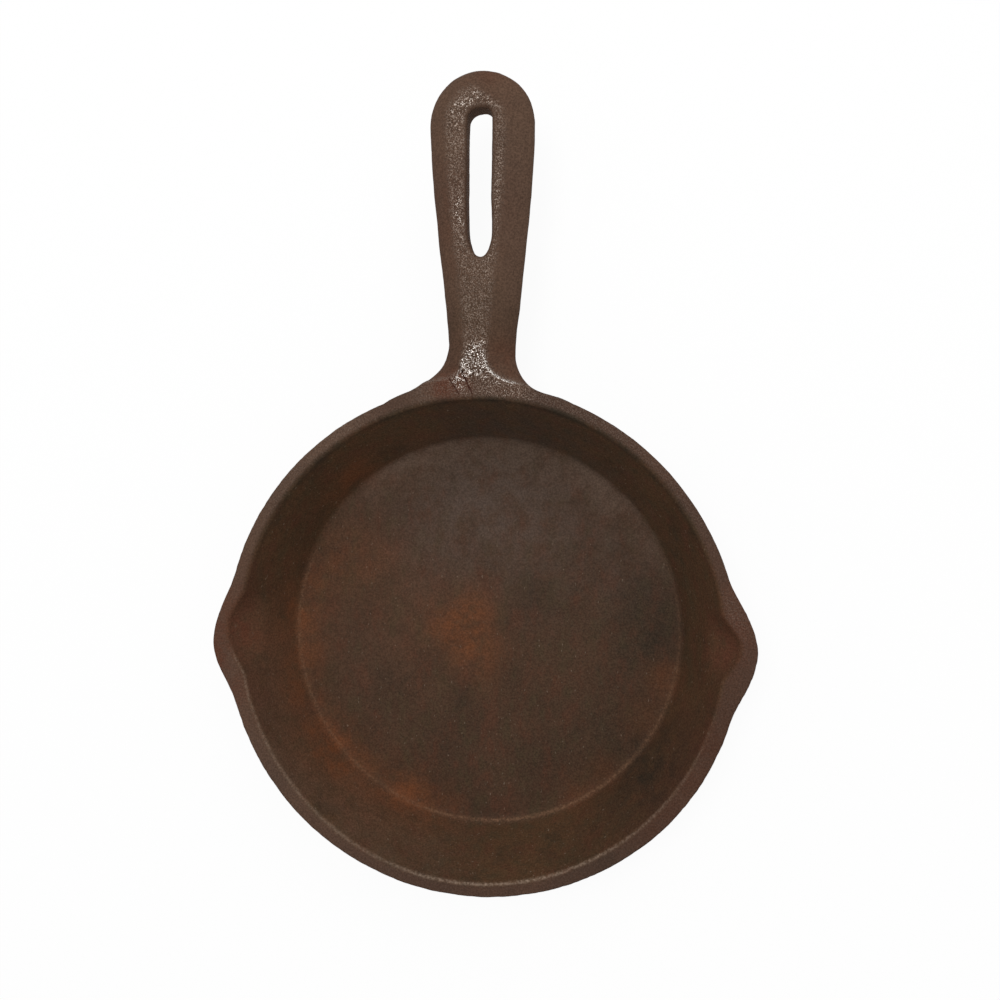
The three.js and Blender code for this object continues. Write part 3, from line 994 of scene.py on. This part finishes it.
def iron_colour(graph, grain, rubbed_and_glint, pits):
    """The stained crust, darker in its pits, with rust and painted shade in its nicks, and the bare iron
    where it is rubbed off, lightened into painted glints.
    """
    cloud = graph.ramp(graph.noise(*CLOUD), *CLOUD_FADE)
    colour = graph.blend(graph.zone("inside"), outer_colour(graph, cloud), inner_colour(graph, cloud))
    colour = with_stains_and_painted_light(graph, colour)
    shade = graph.ramp(grain, *GRAIN_SHADE)
    colour = graph.node("HueSaturation", {"Color": colour, "Value": shade}).outputs["Color"]
    colour = graph.blend(graph.math("MULTIPLY", pits, PIT_STRENGTH), colour, SOOT_AND_SHADE)
    colour = graph.blend(rubbed_and_glint, colour, WORN_AND_GLINT_GREY)
    colour = graph.blend(graph.ramp(rubbed_and_glint, *BARE_AND_GLINT_FADE), colour, BARE_AND_GLINT)
    return graph.blend(graph.zone("crevice_rust_and_shade"), colour, CREVICE_RUST_AND_SHADE)


def rubbed_off_and_glints(graph, worn_and_glint, streak):
    """Flecks on the worn places and beads along the crest, where the iron is bare, lightened as painted
    glints.
    """
    cluster = graph.ramp(graph.noise(*CLUSTER), *CLUSTER_FADE)
    clusters = graph.math("MULTIPLY", worn_and_glint, cluster)
    flecks = graph.math("MULTIPLY", clusters, graph.ramp(streak, *FLECK_FADE))
    beads = graph.math("MULTIPLY", graph.zone("crest"), graph.ramp(graph.noise(*BEAD), *BEAD_FADE))
    return graph.math("MAXIMUM", flecks, beads)


def iron_material():
    """Rusty cast iron: brown, mottled and pebbly, with glints where the crust is rubbed off, partly painted
    into its colour, and with painted highlight lines, sheen, light and shade.
    """
    material = bpy.data.materials.new("rusty_iron")
    material.use_nodes = True
    graph = Graph(material.node_tree)
    shader = material.node_tree.nodes["Principled BSDF"]
    grain = graph.noise(*GRAIN)
    streak = graph.noise(*STREAK, graph.stretched(STREAK_TURN, STREAK_STRETCH))
    worn_and_glint = graph.zone("worn_and_glint")
    rubbed_and_glint = rubbed_off_and_glints(graph, worn_and_glint, streak)
    pits = graph.math("MULTIPLY", worn_and_glint, graph.ramp(streak, *PIT_FADE))
    roughness = graph.ramp(rubbed_and_glint, 0.0, 1.0, CRUST_ROUGHNESS, BARE_ROUGHNESS)
    normal = graph.bump(graph.noise(*PEBBLE), *PEBBLE_BUMP)
    normal = graph.bump(grain, *GRAIN_BUMP, normal)
    normal = graph.bump(streak, worn_and_glint, STREAK_DEPTH, normal)
    graph.feed(shader.inputs["Base Color"], iron_colour(graph, grain, rubbed_and_glint, pits))
    graph.feed(shader.inputs["Metallic"], graph.math("MULTIPLY", rubbed_and_glint, BARE_METAL))
    graph.feed(shader.inputs["Roughness"], roughness)
    graph.feed(shader.inputs["Normal"], normal)
    shader.inputs["Specular IOR Level"].default_value = SPECULAR
    return material


def make_casting():
    """The whole skillet, which stands for both solids."""
    mesh, points, normals = casting_mesh()
    for name, values in zones(points, normals).items():
        layer = mesh.attributes.new(name, "FLOAT", "POINT")
        layer.data.foreach_set("value", np.clip(values, 0.0, STRONGEST).astype(np.float32))
    piece = bpy.data.objects.new("skillet_casting", mesh)
    bpy.context.collection.objects.link(piece)
    mesh.materials.append(iron_material())
    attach(piece, "root")
    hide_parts("pan", "handle")


def make_camera():
    """The camera that took the photograph, as fitted to it."""
    data = bpy.data.cameras.new("camera")
    data.lens = LENS
    data.sensor_width = SENSOR
    camera = bpy.data.objects.new("camera", data)
    bpy.context.collection.objects.link(camera)
    turn = Matrix.Identity(3)
    for degrees, axis in zip(CAMERA_TURN, "XYZ"):
        turn = turn @ Matrix.Rotation(math.radians(degrees), 3, axis)
    camera.matrix_world = Matrix.Translation(Vector(CAMERA_AT) * MM) @ turn.to_4x4()
    bpy.context.scene.camera = camera


def seen(graph):
    """1 for rays from the camera, off metal or through glass, and 0 for the light that falls on things."""
    path = graph.node("LightPath").outputs
    mirrored = graph.math("MAXIMUM", path["Is Glossy Ray"], path["Is Transmission Ray"])
    return graph.math("MAXIMUM", path["Is Camera Ray"], mirrored)


def white_floor():
    """White, and brought up to white where it is seen, but for a part that keeps the shadow."""
    material = bpy.data.materials.new("white_floor")
    material.use_nodes = True
    tree = material.node_tree
    tree.nodes.clear()
    graph = Graph(tree)
    diffuse = graph.node("BsdfDiffuse", {"Color": (FLOOR_WHITE, FLOOR_WHITE, FLOOR_WHITE, 1.0)})
    glow = graph.node("Emission", {"Strength": 1.0})
    share = graph.math("MULTIPLY", seen(graph), FLOOR_GLOW)
    mix = graph.node("MixShader", {0: share, 1: diffuse.outputs[0], 2: glow.outputs[0]})
    graph.node("OutputMaterial", {"Surface": mix.outputs[0]})
    return material


def make_floor():
    """A wide white floor just below the skillet."""
    mesh = bpy.data.meshes.new("floor")
    bm = bmesh.new()
    bmesh.ops.create_grid(bm, x_segments=FLOOR_CELLS, y_segments=FLOOR_CELLS, size=FLOOR_HALF)
    bm.to_mesh(mesh)
    bm.free()
    floor = bpy.data.objects.new("floor", mesh)
    bpy.context.collection.objects.link(floor)
    mesh.materials.append(white_floor())
    floor.location.z = -FLOOR_GAP


def make_world():
    """White where it is seen, and dimmer as a light."""
    world = bpy.data.worlds.new("studio")
    bpy.context.scene.world = world
    world.use_nodes = True
    graph = Graph(world.node_tree)
    background = world.node_tree.nodes["Background"]
    background.inputs["Color"].default_value = (1.0, 1.0, 1.0, 1.0)
    graph.feed(background.inputs["Strength"], graph.ramp(seen(graph), 0.0, 1.0, WORLD_LEVEL, 1.0))


def make_lamp(name, place, size, power):
    """A round soft lamp that faces the skillet."""
    data = bpy.data.lights.new(name, "AREA")
    data.shape = "DISK"
    data.size = size
    data.energy = power
    lamp = bpy.data.objects.new(name, data)
    bpy.context.collection.objects.link(lamp)
    lamp.location = Vector(place)
    lamp.rotation_euler = (Vector(place) - Vector(LAMP_TO)).to_track_quat("Z", "Y").to_euler()


make_camera()
make_casting()
make_floor()
make_world()
make_lamp("key", KEY_AT, KEY_SIZE, KEY_POWER)
make_lamp("fill", FILL_AT, FILL_SIZE, FILL_POWER)
bpy.context.scene.view_settings.view_transform = "Standard"
